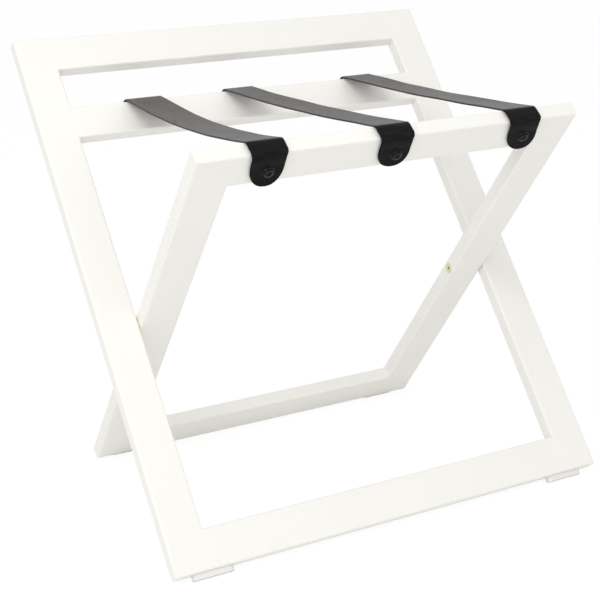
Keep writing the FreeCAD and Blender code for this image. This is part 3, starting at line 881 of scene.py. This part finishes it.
def spread_fixings(name, tree, places, finish, seed):
    """Runs the tree on (point, facing) places and gives the result as one plain mesh object."""
    base = bpy.data.meshes.new(name + "_places")
    base.from_pydata([p for p, _ in places], [], [])
    attribute = base.attributes.new("facing", "FLOAT_VECTOR", "POINT")
    attribute.data.foreach_set("vector", [c for _, way in places for c in way])
    holder = bpy.data.objects.new(name + "_places", base)
    bpy.context.scene.collection.objects.link(holder)
    modifier = holder.modifiers.new("fixings", "NODES")
    modifier.node_group = tree
    sockets = {item.name: item.identifier for item in tree.interface.items_tree
               if item.item_type == "SOCKET" and item.in_out == "INPUT"}
    modifier[sockets["Seed"]] = seed
    modifier[sockets["Finish"]] = finish
    bpy.context.view_layer.update()
    depsgraph = bpy.context.evaluated_depsgraph_get()
    mesh = bpy.data.meshes.new_from_object(holder.evaluated_get(depsgraph))
    mesh.name = name
    holder.modifiers.clear()
    bpy.data.objects.remove(holder)
    if len(mesh.polygons) < FEWEST_FACES * len(places):
        raise RuntimeError(f"{name}: the fixings weren't made")
    piece = link_mesh(name, mesh, finish)
    mesh.set_sharp_from_angle(angle=math.radians(32))
    return piece


def front_fixing_places():
    """(point, facing) of the cup base of each strap screw in front."""
    facing = leaned(0, -1, 0, LEAN) - leaned(0, 0, 0, LEAN)
    return [(leaned(p.screw_x, -HALF_T - CUP_BASE, INNER_TOP - p.screw_depth, LEAN), facing) for p in STRAPS]


def back_fixing_places():
    """The same for the strap screws behind."""
    facing = leaned(0, 1, 0, -LEAN) - leaned(0, 0, 0, -LEAN)
    return [(leaned(p.back_screw_x, HALF_T + CUP_BASE, STRAP_RAIL_TOP - BACK_SCREW_DEPTH, -LEAN), facing)
            for p in STRAPS]


# ---- settings -------------------------------------------------------------------------------------
def colour_property(name, description, default):
    return FloatVectorProperty(name=name, description=description, default=default, subtype="COLOR",
                               size=3, min=0.0, max=1.0)


def length_property(name, description, default):
    return FloatProperty(name=name, description=description, default=default, min=0.0, precision=5,
                         subtype="DISTANCE", unit="LENGTH")


def share_property(name, description, default):
    return FloatProperty(name=name, description=description, default=default, min=0.0, max=1.0, subtype="FACTOR")


def power_property(name, description, default):
    return FloatProperty(name=name, description=description, default=default, min=0.0, subtype="POWER",
                         unit="POWER")


class LacquerSettings(bpy.types.PropertyGroup):
    """The frames' finish."""
    colour: colour_property("Colour", "Colour of the opaque lacquer", (0.905, 0.889, 0.842))
    roughness: share_property("Roughness", "Roughness of the satin film", 0.42)
    grain_height: length_property("Grain height", "How far the wood's grain stands up under the lacquer", 0.000022)
    ripple_height: length_property("Ripple height", "Height of the sprayed film's fine ripple", 0.000010)


class LeatherSettings(bpy.types.PropertyGroup):
    """The straps' leather and how it has settled."""
    colour: colour_property("Colour", "Colour of the leather's grain side", (0.0085, 0.0082, 0.0085))
    roughness: share_property("Roughness", "Roughness of the grain side in the span", 0.40)
    # Painted sheen: this lighter warm grey paints the span's sheen as well as a little fading.
    span_colour: colour_property("Span colour", "Colour of the span, a little faded", (0.021, 0.0145, 0.0125))
    gloss: share_property("Gloss", "Specular level of the waxed span", 0.44)
    dull_gloss: share_property("Dull gloss", "Specular level of the ends, which the wax never reached", 0.048)
    pebble_size: length_property("Pebble size", "Width of one pebble of the grain", 0.0011)
    pebble_height: length_property("Pebble height", "Height of one pebble of the grain", 0.00004)
    bow: length_property("Bow", "How far the stiff leather stands off the front rail where it bends", 0.0012)
    tongue_bow: length_property("Tongue bow", "How far a tongue stands off the front rail's face", 0.0022)
    back_bow: length_property("Back bow", "The same at the back rail", 0.0024)
    bend_spread: share_property("Bend spread", "How much wider the leather is where it bends at the front", 0.07)
    crease_depth: length_property("Crease depth", "Depth of the creases over the rails' edges", 0.00018)
    edge_rounding: length_property("Edge rounding", "Rounding of the cut edges", 0.0007)
    washer_puff: length_property("Washer puff", "How far the leather swells round a washer", 0.00028)
    tip_lift: length_property("Tip lift", "How far the front tip stands off the wood", 0.0006)


class FixingSettings(bpy.types.PropertyGroup):
    """The screws' and washers' finishes."""
    black: colour_property("Black", "Colour of the black screws and cups", (0.006, 0.006, 0.0064))
    # Painted highlight: this colour lights the rubbed rims as glint lines as well as showing wear.
    bare_steel: colour_property("Bare steel", "Colour of the rims where the black has gone", (0.12, 0.12, 0.123))
    black_roughness: share_property("Black roughness", "Roughness of the black screws and cups", 0.34)
    brass: colour_property("Brass", "Colour of the pivot screws", (0.74, 0.69, 0.47))
    brass_roughness: share_property("Brass roughness", "Roughness of the pivot screws", 0.36)
    seed: IntProperty(name="Seed", description="Picks how far each screw is turned", default=4, min=0)


class GlideSettings(bpy.types.PropertyGroup):
    """The nylon glides under the feet."""
    colour: colour_property("Colour", "Colour of the nylon", (0.82, 0.81, 0.79))
    edge: length_property("Edge", "Rounding of the moulded edges", 0.0005)
    sole_edge: length_property("Sole edge", "Rounding round the sole", 0.0018)


class StudioSettings(bpy.types.PropertyGroup):
    """Floor, lamps and world."""
    world_level: FloatProperty(name="World level", description="Light from all around", default=0.71, min=0.0)
    key_power: power_property("Key power", "Power of the large soft lamp in front", 19.5)
    fill_power: power_property("Fill power", "Power of the low lamp at the front left", 19.0)
    key_size: length_property("Key size", "Width of the soft lamp in front", 1.6)
    fill_size: length_property("Fill size", "Width of the low lamp", 2.4)
    floor_size: length_property("Floor size", "Width of the floor", 40.0)
    floor_colour: colour_property("Floor colour", "Colour of the plain floor", (0.95, 0.95, 0.95))
    floor_white: share_property(
        "Floor white", "Share of plain white that the camera and the gloss see on the floor", 0.80)


class BenchSettings(bpy.types.PropertyGroup):
    """Everything that a user may change."""
    lacquer: PointerProperty(type=LacquerSettings)
    leather: PointerProperty(type=LeatherSettings)
    fixings: PointerProperty(type=FixingSettings)
    glides: PointerProperty(type=GlideSettings)
    studio: PointerProperty(type=StudioSettings)


# ---- operators ------------------------------------------------------------------------------------
class BENCH_OT_lacquer_frames(bpy.types.Operator):
    """Lacquer the boards of both frames, each with its grain along the board"""
    bl_idname = "luggage_bench.lacquer_frames"
    bl_label = "Lacquer the frames"

    def execute(self, context):
        look = context.scene.luggage_bench.lacquer
        for prefix, lean, rails in (("outer", LEAN, OUTER_RAILS), ("inner", -LEAN, INNER_RAILS)):
            upright = lacquer_material(prefix + "_stile_lacquer", look, lean, along_x=False)
            level = lacquer_material(prefix + "_rail_lacquer", look, lean, along_x=True)
            for stile in STILES:
                dress_node(f"{prefix}_{stile}", upright)
            for rail in rails:
                dress_node(rail, level)
        return {"FINISHED"}


class BENCH_OT_straps(bpy.types.Operator):
    """Bend the three leather straps over both rails"""
    bl_idname = "luggage_bench.straps"
    bl_label = "Lay the straps"

    def execute(self, context):
        look = context.scene.luggage_bench.leather
        leather = leather_material(look)
        for place in STRAPS:
            form = StrapForm(place, look)
            name = "leather_" + place.name
            strap = link_mesh(name, strap_mesh(name, form), leather)
            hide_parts(place.name)
            width, length, area = flat_size(form)
            start, end = turning_range(form)
            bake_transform(strap)
            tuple(start)
            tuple(end)
        return {"FINISHED"}


class BENCH_OT_strap_screws(bpy.types.Operator):
    """Drive the six black strap screws"""
    bl_idname = "luggage_bench.strap_screws"
    bl_label = "Drive the strap screws"

    def execute(self, context):
        look = context.scene.luggage_bench.fixings
        finish = black_metal_material(look)
        tree = fixing_tree("strap_screw", {
            "Head radius": 5.15 * MM, "Rim height": 3.2 * MM, "Dome": 1.0 * MM, "Shank radius": 2.0 * MM,
            "Length": 16.0 * MM, "Recess depth": 1.9 * MM}, strap_screw_form)
        front = spread_fixings("front_strap_screws", tree, front_fixing_places(), finish, look.seed)
        back = spread_fixings("back_strap_screws", tree, back_fixing_places(), finish, look.seed + 1)
        settled(front, "inner_frame", "black_screws", "strap_front_screws")
        settled(back, "outer_frame", "black_screws", "strap_back_screws")
        return {"FINISHED"}


class BENCH_OT_cup_washers(bpy.types.Operator):
    """Seat a finishing cup under each strap screw, with the screws' own finish"""
    bl_idname = "luggage_bench.cup_washers"
    bl_label = "Seat the cup washers"

    def execute(self, context):
        look = context.scene.luggage_bench.fixings
        finish = bpy.data.materials["black_oxide"]
        tree = fixing_tree("cup_washer", {
            "Rim radius": 8.0 * MM, "Mouth radius": 5.25 * MM, "Bore radius": 2.1 * MM, "Height": 3.2 * MM},
            cup_washer_form)
        front = spread_fixings("front_cup_washers", tree, front_fixing_places(), finish, look.seed)
        back = spread_fixings("back_cup_washers", tree, back_fixing_places(), finish, look.seed)
        settled(front, "inner_frame", "black_screws", "strap_front_cups")
        settled(back, "outer_frame", "black_screws", "strap_back_cups")
        return {"FINISHED"}


class BENCH_OT_pivots(bpy.types.Operator):
    """Fit the two brass pivot screws, and finish their washers and inserts"""
    bl_idname = "luggage_bench.pivots"
    bl_label = "Fit the pivots"

    def execute(self, context):
        look = context.scene.luggage_bench.fixings
        brass = brass_material(look)
        tree = fixing_tree("pivot_screw", {
            "Head radius": PIVOT_HEAD_R, "Shank radius": PIVOT_SCREW_R, "Length": PIVOT_SCREW_L,
            "Socket across flats": PIVOT_SOCKET_AF, "Socket depth": PIVOT_SOCKET_DEPTH}, pivot_screw_form)
        places = [(Vector((side * (INNER_WINDOW + PIVOT_HEAD_SINK), PIVOT.y, PIVOT.z)), Vector((-side, 0, 0)))
                  for side in (-1, 1)]
        screws = spread_fixings("brass_pivot_screws", tree, places, brass, look.seed)
        settled(screws, "outer_frame", "pivot_brass", "pivot_screws")
        for node in ("pivot_washers", "pivot_inserts"):
            dress_node(node, brass)
        return {"FINISHED"}


class BENCH_OT_glides(bpy.types.Operator):
    """Mould the four glides under the feet"""
    bl_idname = "luggage_bench.glides"
    bl_label = "Mould the glides"

    @staticmethod
    def ease(shape, rounding, segments, below=math.inf):
        """Rounds the sharp edges, all of them or those that lie below a height."""
        edges = [e for e in shape.edges if len(e.link_faces) == 2 and e.calc_face_angle() > math.radians(25)
                 and all(v.co.z < below for v in e.verts)]
        bmesh.ops.bevel(shape, geom=edges, offset=rounding, segments=segments, profile=0.5, affect="EDGES",
                        clamp_overlap=True)

    def execute(self, context):
        look = context.scene.luggage_bench.glides
        nylon = glide_material(look)
        for node, body in GLIDES.items():
            name = "nylon_" + node
            mesh = frame["nodes"][node].data.copy()
            mesh.name = name
            mesh.materials.clear()
            shape = bmesh.new()
            shape.from_mesh(mesh)
            bmesh.ops.remove_doubles(shape, verts=shape.verts, dist=0.00001)
            bmesh.ops.dissolve_limit(shape, angle_limit=math.radians(1.0), verts=shape.verts, edges=shape.edges)
            self.ease(shape, look.sole_edge, segments=5, below=0.1 * MM)
            self.ease(shape, look.edge, segments=3)
            bmesh.ops.recalc_face_normals(shape, faces=shape.faces)
            shape.to_mesh(mesh)
            shape.free()
            mesh.shade_smooth()
            mesh.set_sharp_from_angle(angle=math.radians(40))
            settled(link_mesh(name, mesh, nylon), body, "glide_plastic", node)
        return {"FINISHED"}


class BENCH_OT_studio(bpy.types.Operator):
    """Set up the camera, the pale floor, the world and the soft lamps"""
    bl_idname = "luggage_bench.studio"
    bl_label = "Set up the studio"

    def execute(self, context):
        look = context.scene.luggage_bench.studio
        self.place_camera(context)
        self.lay_floor(look)
        self.light_world(context, look)
        self.hang_lamp("key", KEY_PLACE, look.key_power, look.key_size)
        self.hang_lamp("fill", FILL_PLACE, look.fill_power, look.fill_size)
        context.scene.view_settings.view_transform = "Standard"
        return {"FINISHED"}

    def place_camera(self, context):
        data = bpy.data.cameras.new("camera")
        data.lens = CAMERA_LENS
        data.sensor_width = CAMERA_SENSOR
        camera = bpy.data.objects.new("camera", data)
        camera.location = CAMERA_PLACE
        camera.rotation_euler = [math.radians(a) for a in CAMERA_TURN]
        context.scene.collection.objects.link(camera)
        context.scene.camera = camera

    def seen_plainly(self, nodes):
        """1 for rays from the camera and for gloss and glass, 0 for the light that falls on the bench."""
        path = nodes.add("ShaderNodeLightPath", output="Is Camera Ray")
        return path.at_least(path.out("Is Glossy Ray")).at_least(path.out("Is Transmission Ray"))

    def lay_floor(self, look):
        material, nodes = new_material("pale_floor")
        place = nodes.add("ShaderNodeTexCoord", output="Object")
        tone = cloud(nodes, place, 3.0, detail=2.0)
        colour = mixed(nodes, tone, rgba(look.floor_colour, 0.985), rgba(look.floor_colour))
        paint = nodes.add("ShaderNodeBsdfDiffuse", {"Color": colour})
        white = nodes.add("ShaderNodeEmission", {"Color": WHITE, "Strength": 1.07})
        close_material(nodes, nodes.add("ShaderNodeMixShader", {
            0: self.seen_plainly(nodes) * look.floor_white, 1: paint, 2: white}))
        half = look.floor_size / 2
        corners = [(-half, -half, 0), (half, -half, 0), (half, half, 0), (-half, half, 0)]
        mesh = bpy.data.meshes.new("floor")
        mesh.from_pydata(corners, [], [(0, 1, 2, 3)])
        link_mesh("floor", mesh, material)

    def light_world(self, context, look):
        world = bpy.data.worlds.new("studio")
        world.use_nodes = True
        world.node_tree.nodes.clear()
        nodes = Nodes(world.node_tree)
        level = look.world_level + self.seen_plainly(nodes) * (1.0 - look.world_level)
        light = nodes.add("ShaderNodeBackground", {"Color": WHITE, "Strength": level})
        nodes.add("ShaderNodeOutputWorld", {"Surface": light})
        context.scene.world = world

    def hang_lamp(self, name, where, power, size):
        data = bpy.data.lights.new(name, "AREA")
        data.energy = power
        data.size = size
        lamp = bpy.data.objects.new(name, data)
        lamp.location = where
        lamp.rotation_euler = (Vector(LAMPS_FACE) - Vector(where)).to_track_quat("-Z", "Y").to_euler()
        bpy.context.scene.collection.objects.link(lamp)


OPERATORS = (
    BENCH_OT_lacquer_frames, BENCH_OT_straps, BENCH_OT_strap_screws, BENCH_OT_cup_washers,
    BENCH_OT_pivots, BENCH_OT_glides, BENCH_OT_studio,
)


class BENCH_PT_panel(bpy.types.Panel):
    """Lists the bench's settings and steps in the sidebar"""
    bl_label = "Luggage bench"
    bl_idname = "BENCH_PT_panel"
    bl_space_type = "VIEW_3D"
    bl_region_type = "UI"
    bl_category = "Luggage bench"

    def draw(self, context):
        settings = context.scene.luggage_bench
        for group in ("lacquer", "leather", "fixings", "glides", "studio"):
            box = self.layout.box()
            box.label(text=group.capitalize())
            part = getattr(settings, group)
            for name in part.bl_rna.properties.keys():
                if name not in ("rna_type", "name"):
                    box.prop(part, name)
        for operator in OPERATORS:
            self.layout.operator(operator.bl_idname)


CLASSES = (
    LacquerSettings, LeatherSettings, FixingSettings, GlideSettings, StudioSettings, BenchSettings,
    *OPERATORS, BENCH_PT_panel,
)


def register():
    for one in CLASSES:
        bpy.utils.register_class(one)
    bpy.types.Scene.luggage_bench = PointerProperty(type=BenchSettings)


def unregister():
    del bpy.types.Scene.luggage_bench
    for one in reversed(CLASSES):
        bpy.utils.unregister_class(one)


def main():
    register()
    bpy.ops.luggage_bench.lacquer_frames()
    bpy.ops.luggage_bench.straps()
    bpy.ops.luggage_bench.strap_screws()
    bpy.ops.luggage_bench.cup_washers()
    bpy.ops.luggage_bench.pivots()
    bpy.ops.luggage_bench.glides()
    bpy.ops.luggage_bench.studio()


if __name__ == "__main__":
    main()
